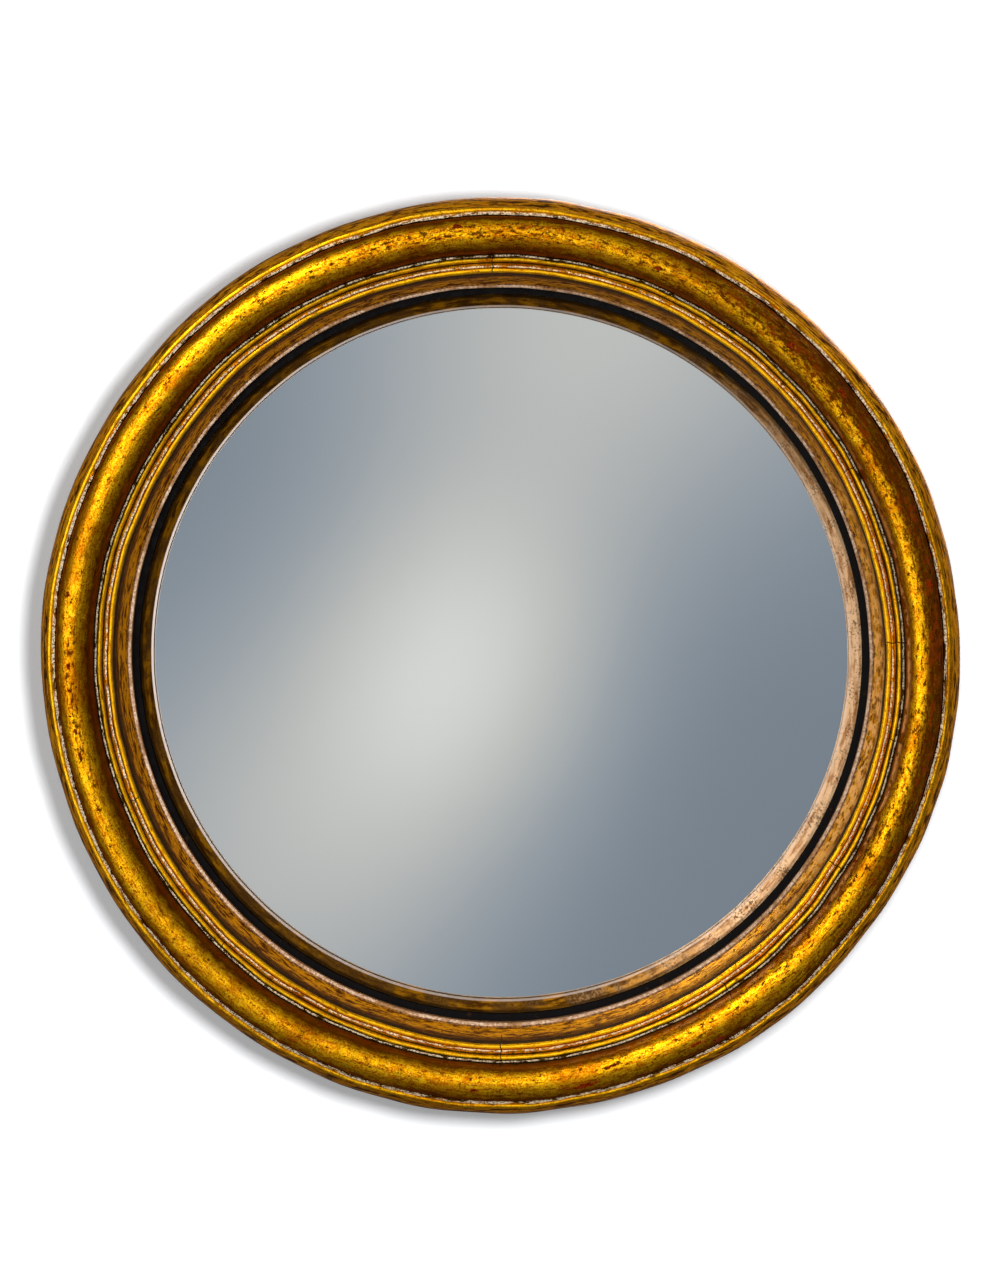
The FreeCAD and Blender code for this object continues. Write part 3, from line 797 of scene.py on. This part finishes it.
    metal = g.times(g.less(speckled, 0.8), g.less(bole), g.less(dirt_and_shade, 0.85), g.less(bare))
    metal = g.times(metal, g.less(smudged, 0.6), g.less(worn_band, 0.7), g.less(cracked))
    metal = g.times(metal, g.less(painted_pink_light, 0.5), 0.95)
    metal = g.times(metal, g.less(g.mark("cove"), 0.55), g.less(g.mark("bead"), 0.35))
    dull = g.times(g.plus(g.plus(speckled, shadowed), g.plus(dirt_and_shade, bare)), 0.15)
    rough = g.plus(g.band(patch, 0.3, 0.7, 0.28, 0.40), dull)
    height = g.plus(g.times(fine, 0.07), g.times(streak, 0.14))
    height = g.plus(height, g.plus(g.times(speckled, -0.05), g.times(bare, -0.06)))
    height = g.plus(height, g.times(bole, -0.05))
    return g.shade(
        base_color=colour,
        metallic=metal,
        roughness=rough,
        specular_ior_level=0.15,
        specular_tint=srgb(255, 196, 70),
        normal=g.bump(height),
    )


def back_layer_wood():
    """Stained wood, with the sight lip finished pale like old gesso under worn gold, and paler on the
    lit side as a painted highlight.
    """
    g = material_graph("frame_back_wood")
    grain_place = g.place("grain_place", (1.0, 9.0, 9.0))
    figure = g.noise(grain_place, 14.0, 5.0, 0.6)
    pores = g.noise(g.place("grain_place", (1.0, 14.0, 14.0)), 4.0, 4.0)
    grime = g.noise(g.place(), 22.0, 4.0)
    lip = g.mark("lip")
    wood = g.mix(g.band(figure, 0.35, 0.65), srgb(88, 54, 28), srgb(140, 96, 56))
    wood = g.mix(g.band(pores, 0.5, 0.62, 0.0, 0.6), wood, srgb(52, 30, 16))
    wood = g.mix(g.band(grime, 0.45, 0.7, 0.0, 0.5), wood, srgb(62, 42, 24))
    fleck = g.noise(g.place(), 1.6, 4.0, 0.65)
    chalk = g.mix(g.band(fleck, 0.42, 0.6), srgb(206, 158, 120), srgb(250, 228, 206))
    chalk = g.mix(g.band(grime, 0.48, 0.60, 0.0, 0.75), chalk, srgb(150, 98, 34))
    dull_gold = g.mix(g.band(fleck, 0.40, 0.58), srgb(60, 32, 6), srgb(150, 96, 18))
    colour = g.mix(g.band(lip, 0.15, 0.35), wood, dull_gold)
    # the pale lip edge: worn gesso, brighter on the lit side as a painted highlight
    wear_and_lit_side = g.band(g.mark("wear_and_lit_side"), 0.1, 1.0, 0.5, 1.0)
    pale = g.times(g.band(g.mark("lip_edge"), 0.45, 0.65), wear_and_lit_side)
    colour = g.mix(pale, colour, chalk)
    height = g.plus(g.times(figure, 0.1), g.times(pores, -0.12))
    return g.shade(
        base_color=colour,
        roughness=g.band(grime, 0.3, 0.7, 0.5, 0.72),
        normal=g.bump(height),
    )


def gilded_slip():
    """The inner ring: thin gold over dark ground, speckled, with a pinkish painted highlight at one
    side, a painted shadow of the lip along its top and a pale nose.
    """
    g = material_graph("gilded_slip")
    place = g.place()
    fleck = g.noise(place, 1.4, 4.0, 0.7)
    cloud = g.noise(place, 16.0, 3.0)
    brushed = g.noise(g.place(stretch=(6.0, 1.0, 1.0)), 14.0, 5.0, 0.65)
    lit_right_side = g.mark("lit_right_side")
    gold = g.mix(g.band(brushed, 0.40, 0.60), srgb(72, 40, 4), srgb(160, 106, 12))
    gold = g.mix(g.band(cloud, 0.44, 0.58, 0.0, 0.7), gold, srgb(88, 58, 22))
    # pinkish painted highlight on the lit side of the slip
    lit_pink = g.mix(g.band(brushed, 0.36, 0.56), srgb(176, 122, 76), srgb(232, 190, 148))
    colour = g.mix(g.band(g.plus(lit_right_side, g.times(g.plus(cloud, -0.5), 0.5)), 0.10, 0.75), gold, lit_pink)
    spots = g.band(g.plus(fleck, g.times(g.plus(cloud, -0.5), 0.5)), 0.54, 0.64)
    colour = g.mix(g.times(spots, 0.75), colour, srgb(48, 26, 6))
    # the pale nose: worn gesso, brighter on the lit side as a painted highlight
    nose = g.times(g.band(g.mark("nose"), 0.4, 0.7), g.mark("wear_and_lit_side"))
    colour = g.mix(nose, colour, srgb(240, 228, 222))
    # painted shadow of the frame's lip on the slip's outer edge, lighter on the lit side
    painted_lip_shadow = g.band(g.mark("slip_top"), 0.25, 0.75)
    colour = g.mix(g.times(painted_lip_shadow, g.less(lit_right_side, 0.6), 0.85), colour, srgb(26, 14, 3))
    metal = g.times(g.less(spots, 0.8), g.less(nose), g.less(lit_right_side, 0.6), 0.7)
    height = g.plus(g.times(g.noise(place, 0.8, 2.0), 0.05), g.times(spots, -0.04))
    return g.shade(
        base_color=colour,
        metallic=metal,
        roughness=g.band(fleck, 0.3, 0.7, 0.36, 0.55),
        specular_ior_level=0.2,
        specular_tint=srgb(255, 206, 120),
        normal=g.bump(height),
    )


def mirror_glass():
    g = material_graph("mirror_glass")
    place = g.place(None)
    tone = g.mix(g.noise(place, 90.0, 2.0), srgb(240, 243, 244), srgb(245, 247, 247))
    height = g.times(g.noise(place, 45.0, 1.0), 0.05)
    return g.shade(base_color=tone, metallic=1.0, roughness=0.04, normal=g.bump(height))


def ebonised_wood():
    # black paint, made darker still to stand in for the shade of the gap it lies in
    g = material_graph("ebonised_wood")
    place = g.place(None)
    scuff = g.noise(place, 5.0, 5.0, 0.65)
    colour = g.mix(g.band(scuff, 0.60, 0.70), srgb(6, 4, 5), srgb(40, 24, 12))
    rough = g.band(scuff, 0.35, 0.65, 0.5, 0.7)
    normal = g.bump(g.times(scuff, 0.08))
    return g.shade(base_color=colour, roughness=rough, specular_ior_level=0.12, normal=normal)


def plywood():
    g = material_graph("backboard_ply")
    figure = g.noise(g.place(None, (1.0, 1.0, 11.0)), 30.0, 5.0, 0.6)
    pores = g.noise(g.place(None, (1.0, 1.0, 18.0)), 7.0, 4.0)
    stain = g.noise(g.place(None), 70.0, 4.0)
    colour = g.mix(g.band(figure, 0.35, 0.65), srgb(150, 112, 72), srgb(188, 152, 106))
    colour = g.mix(g.band(pores, 0.52, 0.62, 0.0, 0.5), colour, srgb(98, 68, 40))
    colour = g.mix(g.band(stain, 0.48, 0.68, 0.0, 0.55), colour, srgb(112, 82, 52))
    height = g.plus(g.times(figure, 0.08), g.times(pores, -0.1))
    return g.shade(base_color=colour, roughness=0.72, normal=g.bump(height))


def soft_filler(name, dark, light, size, relief):
    """Felt or cork: fine grains in two tones."""
    g = material_graph(name)
    grains = g.noise(g.place(None), size, 4.0, 0.7)
    colour = g.mix(g.band(grains, 0.4, 0.6), dark, light)
    return g.shade(base_color=colour, roughness=0.9, normal=g.bump(g.times(grains, relief)))


def brass(name, clean, tarnish):
    g = material_graph(name)
    place = g.place(None)
    cloud = g.noise(place, 5.0, 4.0, 0.6)
    fine = g.noise(place, 0.5, 2.0)
    stained = g.band(cloud, 0.46, 0.66, 0.05, 0.85)
    colour = g.mix(stained, clean, tarnish)
    rough = g.plus(g.band(cloud, 0.4, 0.65, 0.3, 0.55), g.times(fine, 0.1))
    return g.shade(
        base_color=colour,
        metallic=g.less(stained, 0.35),
        roughness=rough,
        normal=g.bump(g.times(fine, 0.03)),
    )


def bumper_rubber():
    g = material_graph("bumper_rubber")
    dust = g.noise(g.place(None), 2.5, 4.0)
    colour = g.mix(g.band(dust, 0.45, 0.62), srgb(46, 42, 38), srgb(92, 84, 74))
    return g.shade(base_color=colour, roughness=0.75, normal=g.bump(g.times(dust, 0.06)))


# ---------------------------------------------------------------- the object


def build_frame_layers():
    sweep = 360 / BLOCKS_PER_LAYER
    front = softened(front_section(), hidden_depth=JOINT_DEPTH)
    back = softened(back_section(), coarse=2.5, hidden_depth=JOINT_DEPTH)
    gold, wood = gilding(), back_layer_wood()
    for i in range(BLOCKS_PER_LAYER):
        number = i + 1
        ring_piece(
            f"front_block_{number}", front, sweep * i, sweep, STEPS_PER_BLOCK,
            gold, f"front_ring_segment_{number}",
        )
        ring_piece(
            f"back_block_{number}", back, sweep * (i - 0.5), sweep, STEPS_PER_BLOCK // 2,
            wood, f"back_ring_segment_{number}",
        )


def build_sight_slip():
    section = softened(sight_section(), coarse=1.0)
    steps = STEPS_PER_BLOCK * BLOCKS_PER_LAYER // 2
    slip = ring_piece(
        "sight_slip", section, 0.0, 360.0, steps, gilded_slip(), "gilt_sight_slip"
    )
    seat = dome_depth(SIGHT_RADIUS) - GLASS_GAP
    nose = near(section, (SIGHT_RADIUS + 0.2, seat - SIGHT_NOSE), SIGHT_NOSE * 0.9)
    # where the lip's painted shadow falls on the slip
    top = near(section, (SIGHT_OUTER_RADIUS, SIGHT_TOP_DEPTH), 2.2)
    rows = len(slip.data.vertices) // len(section)
    set_attribute(slip.data, "nose", np.tile(nose, rows))
    set_attribute(slip.data, "slip_top", np.tile(top, rows))


def build_glass():
    """A slice of a hollow sphere, fine enough to reflect without facets."""
    rings, steps = 40, 256
    radii = np.linspace(0.0, GLASS_RADIUS, rings)
    faces = [[(r, dome_depth(r, inset)) for r in radii] for inset in (0.0, GLASS_THICKNESS)]
    section = np.array(faces[0] + faces[1][::-1])
    angle = np.arange(steps) * 360 / steps
    shape = (steps, len(section))
    radius = np.broadcast_to(section[:, 0], shape)
    depth = np.broadcast_to(section[:, 1], shape)
    mesh = ring_mesh("glass_dome", radius, depth, angle, True)
    joined = bmesh.new()
    joined.from_mesh(mesh)
    bmesh.ops.remove_doubles(joined, verts=joined.verts, dist=1e-6)
    joined.to_mesh(mesh)
    joined.free()
    return piece("glass_dome", mesh, mirror_glass(), "convex_glass")


def dress(node, material):
    """Gives a CAD node, whose shape is right, its finished material."""
    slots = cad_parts[node].data.materials
    slots.clear()
    slots.append(material)


def dress_fittings():
    fitting = brass("brass_fitting", srgb(196, 158, 88), srgb(104, 78, 44))
    screws = brass("brass_screw", srgb(206, 170, 102), srgb(92, 70, 44))
    rubber = bumper_rubber()
    dress("ebonised_slip", ebonised_wood())
    dress("glass_edge_strip", soft_filler("felt", srgb(64, 58, 50), srgb(98, 90, 78), 0.6, 0.1))
    dress("glass_pressure_pads", soft_filler("cork", srgb(128, 88, 54), srgb(182, 138, 94), 2.0, 0.2))
    dress("backboard", plywood())
    dress("backboard_screws", screws)
    dress("hanger_screws", screws)
    dress("hanger_plate", fitting)
    dress("hanging_ring", brass("brass_ring", srgb(200, 160, 92), srgb(112, 84, 46)))
    dress("left_bumper", rubber)
    dress("right_bumper", rubber)


# ---------------------------------------------------------------- camera, wall and lights

AIM = Vector((0.0008, -0.05, 0.0115))
CAMERA_DISTANCE = 1.8
CAMERA_AZIMUTH = 2.0
CAMERA_ELEVATION = 5.5
LENS = 97.5
SENSOR = 36.0

WALL_GLOW = 0.12
WALL_LIGHT_POWER = 35.0
WALL_LIGHT_RADIUS = 0.10
WALL_LIGHT_DISTANCE = 1.16
WALL_LIGHT_SIDE = (8.6, 7.0)  # azimuth and elevation
WALL_HALF_WIDTH = 3.0
WALL_TOP = 2.6
FLOOR_Z = -1.3
FLOOR_REACH = 1.1
SWEEP_RADIUS = 0.4
SWEEP_POINTS = 13
WALL_GAP = 0.002  # between the bumpers and the wall


def toward(azimuth_deg, elevation_deg):
    """Direction from the mirror to a place in front of it: azimuth 0 is straight ahead, 90 is +X."""
    azimuth, elevation = math.radians(azimuth_deg), math.radians(elevation_deg)
    level = math.cos(elevation)
    return Vector((level * math.sin(azimuth), -level * math.cos(azimuth), math.sin(elevation)))


def look_from(thing, place, target):
    thing.location = place
    thing.rotation_euler = (target - place).to_track_quat("-Z", "Y").to_euler()


def add_camera():
    data = bpy.data.cameras.new("camera")
    data.lens = LENS
    data.sensor_width = SENSOR
    camera = bpy.data.objects.new("camera", data)
    bpy.context.scene.collection.objects.link(camera)
    look_from(camera, AIM + CAMERA_DISTANCE * toward(CAMERA_AZIMUTH, CAMERA_ELEVATION), AIM)
    bpy.context.scene.camera = camera


def backdrop_material():
    """White wall that keeps shadows; its back is clear, so that the mirror shows from behind."""
    g = material_graph("backdrop_white")
    path = g.node("LightPath")
    seen = g.math("MAXIMUM", path.outputs["Is Camera Ray"], path.outputs["Is Glossy Ray"])
    seen = g.math("MAXIMUM", seen, path.outputs["Is Transmission Ray"])
    paint = g.node("BsdfDiffuse", {"Color": srgb(244, 245, 247)})
    glow = g.node("Emission", {"Color": (1, 1, 1, 1), "Strength": g.times(seen, WALL_GLOW)})
    front = g.node("AddShader", {0: paint.outputs[0], 1: glow.outputs[0]})
    clear = g.node("BsdfTransparent")
    behind = g.node("NewGeometry").outputs["Backfacing"]
    both = g.node("MixShader", {0: behind, 1: front.outputs[0], 2: clear.outputs[0]})
    g.end(both.outputs[0])
    return g.owner


def add_backdrop():
    """A wall that curves into a floor, in one sheet facing the camera."""
    turns = [math.radians(a) for a in np.linspace(0, 90, SWEEP_POINTS)]
    side = [(0.0, WALL_TOP), (0.0, FLOOR_Z + SWEEP_RADIUS)]
    side += [
        (-SWEEP_RADIUS * (1 - math.cos(t)), FLOOR_Z + SWEEP_RADIUS * (1 - math.sin(t)))
        for t in turns[1:]
    ]
    side += [(-FLOOR_REACH, FLOOR_Z)]
    points = [(x, y, z) for y, z in side for x in (-WALL_HALF_WIDTH, WALL_HALF_WIDTH)]
    faces = [(2 * i, 2 * i + 2, 2 * i + 3, 2 * i + 1) for i in range(len(side) - 1)]
    mesh = bpy.data.meshes.new("backdrop")
    mesh.from_pydata(points, [], faces)
    mesh.polygons.foreach_set("use_smooth", [True] * len(faces))
    mesh.materials.append(backdrop_material())
    backdrop = bpy.data.objects.new("backdrop", mesh)
    bpy.context.scene.collection.objects.link(backdrop)
    backdrop.location.y = WALL_GAP
    backdrop.visible_shadow = False
    backdrop.visible_diffuse = False
    backdrop.visible_glossy = False
    return backdrop


LAMPS = (  # name, azimuth, elevation, distance, width and height, watts and colour
    ("key", -38, 36, 2.2, (0.8, 0.8), 18.0, (1.0, 0.97, 0.92)),
    ("fill", 50, 4, 1.6, (0.5, 0.9), 19.0, (1.0, 0.95, 0.90)),
    ("front", -12, 8, 2.1, (1.1, 1.1), 6.5, (1.0, 0.96, 0.88)),
    ("side", -38, -4, 2.1, (0.6, 1.3), 6.0, (1.0, 0.96, 0.88)),
    ("rear", 160, 25, 1.8, (1.4, 1.4), 30.0, (1.0, 1.0, 1.0)),
)
LAMPS_WITHOUT_GLINT = ("fill",)
LAMPS_OFF_THE_GLASS = ("front", "side")


def add_area(name, azimuth, elevation, distance, size, power, colour):
    data = bpy.data.lights.new(name, "AREA")
    data.shape = "RECTANGLE"
    data.size, data.size_y = size
    data.energy = power
    data.color = colour
    lamp = bpy.data.objects.new(name, data)
    bpy.context.scene.collection.objects.link(lamp)
    look_from(lamp, AIM + distance * toward(azimuth, elevation), AIM)
    return lamp


def light_only(lamp, things, state):
    """Makes a lamp light only these things (INCLUDE), or everything else (EXCLUDE)."""
    group = bpy.data.collections.new(lamp.name + "_targets")
    for thing in things:
        group.objects.link(thing)
    lamp.light_linking.receiver_collection = group
    for entry in group.collection_objects:
        entry.light_linking.link_state = state


def add_wall_light():
    """A small near lamp whose light doesn't fade with distance, so that the wall is evenly white."""
    data = bpy.data.lights.new("wall_light", "POINT")
    data.energy = WALL_LIGHT_POWER
    data.shadow_soft_size = WALL_LIGHT_RADIUS
    data.use_nodes = True
    nodes = data.node_tree.nodes
    even = nodes.new("ShaderNodeLightFalloff")
    even.inputs["Strength"].default_value = 1.0
    data.node_tree.links.new(even.outputs["Constant"], nodes["Emission"].inputs["Strength"])
    lamp = bpy.data.objects.new("wall_light", data)
    bpy.context.scene.collection.objects.link(lamp)
    lamp.location = AIM + WALL_LIGHT_DISTANCE * toward(*WALL_LIGHT_SIDE)
    lamp.visible_camera = False
    lamp.visible_glossy = False
    return lamp


def add_lights(backdrop, glass):
    """The lamps on the object leave the wall out, and the wall's own light leaves the object out."""
    for name, *settings in LAMPS:
        lamp = add_area(name, *settings)
        lamp.visible_glossy = name not in LAMPS_WITHOUT_GLINT
        left_out = [backdrop, glass] if name in LAMPS_OFF_THE_GLASS else [backdrop]
        light_only(lamp, left_out, "EXCLUDE")
    light_only(add_wall_light(), [backdrop], "INCLUDE")


ROOM_BASE = 0.24
ROOM_GLOWS = (  # strength, middle, half sizes and tilt of the room's soft lights
    (0.42, (-0.09, -0.11), (0.18, 0.24), -20.0),  # the bright middle, leaning right at its top
    (0.32, (0.10, 0.34), (0.32, 0.28), 0.0),  # broad and pale, at the top
    (0.24, (-0.32, -0.36), (0.24, 0.30), 0.0),  # low on the left
)
ROOM_MIDDLE = -0.09
ROOM_RING = (0.50, 0.60, 0.78, 0.92)  # start, full, full and end of the lit ring, as sines
ROOM_RING_GLOW = 0.5
ROOM_RING_LEAN = 0.9  # how much brighter the ring is toward its bright side
ROOM_RING_SIDE = (-0.71, 0.0, 0.70)
ROOM_RING_LEAST = 0.12
ROOM_DIM = 0.22  # beyond the ring
REAR_GREY = (0.18, 0.18, 0.18, 1)
ROOM_COOL = (0.85, 1.0, 1.18)
ROOM_WARM = (1.0, 1.0, 0.97)


def add_room():
    """The world: white to the camera, and soft light patches in front for the mirror and the gold."""
    world = bpy.data.worlds.new("room")
    bpy.context.scene.world = world
    g = Graph(world, "OutputWorld")
    direction = g.node("TexCoord").outputs["Generated"]
    axes = g.node("SeparateXYZ", {0: direction}).outputs
    glow = ROOM_BASE
    for strength, (x, z), (half_x, half_z), tilt in ROOM_GLOWS:
        offset = g.node("VectorMath", {0: direction, 1: (x, 0, z)}, operation="SUBTRACT").outputs[0]
        inputs = {"Vector": offset, "Axis": (0, 1, 0), "Angle": math.radians(tilt)}
        turned = g.node("VectorRotate", inputs).outputs[0]
        scale = (1 / half_x, 0, 1 / half_z)
        scaled = g.node("VectorMath", {0: turned, 1: scale}, operation="MULTIPLY").outputs[0]
        squared = g.node("VectorMath", {0: scaled, 1: scaled}, operation="DOT_PRODUCT").outputs[1]
        patch = g.math("EXPONENT", g.times(squared, -1.0))
        glow = g.plus(g.times(patch, strength), glow)
    offset = g.node("VectorMath", {0: direction, 1: (0, 0, ROOM_MIDDLE)}, operation="SUBTRACT")
    scaled = g.node("VectorMath", {0: offset.outputs[0], 1: (1, 0, 1)}, operation="MULTIPLY")
    aside = g.node("VectorMath", {0: scaled.outputs[0]}, operation="LENGTH").outputs["Value"]
    start, full, last, end = ROOM_RING
    warmth = g.math("MAXIMUM", g.band(glow, 0.20, 0.58), g.band(aside, start, full))
    tint = g.mix(warmth, (*ROOM_COOL, 1), (*ROOM_WARM, 1))
    glow = g.times(glow, g.band(aside, start, full, 1.0, 0.0))
    side = g.node("VectorMath", {0: direction, 1: ROOM_RING_SIDE}, operation="DOT_PRODUCT").outputs[1]
    ring = g.math("MULTIPLY_ADD", side, ROOM_RING_LEAN, ROOM_RING_GLOW)
    ring = g.math("MAXIMUM", ring, ROOM_RING_LEAST)
    glow = g.plus(glow, g.times(ring, g.band(aside, start, full)))
    glow = g.times(glow, g.band(aside, last, end, 1.0, ROOM_DIM))
    front = g.node("VectorMath", {0: tint}, operation="SCALE")
    g.put(front.inputs["Scale"], glow)
    ahead = g.band(axes[1], -0.1, 0.1)
    both = g.mix(ahead, front.outputs[0], REAR_GREY)
    path = g.node("LightPath")
    lit = g.node("Background", {"Color": both, "Strength": 1.0})
    white = g.node("Background", {"Color": (1, 1, 1, 1), "Strength": 1.0})
    seen = path.outputs["Is Camera Ray"]
    shown = g.node("MixShader", {0: seen, 1: lit.outputs[0], 2: white.outputs[0]})
    g.end(shown.outputs[0])


add_camera()
build_frame_layers()
build_sight_slip()
glass = build_glass()
dress_fittings()
backdrop = add_backdrop()
add_lights(backdrop, glass)
add_room()
bpy.context.scene.view_settings.view_transform = "Standard"
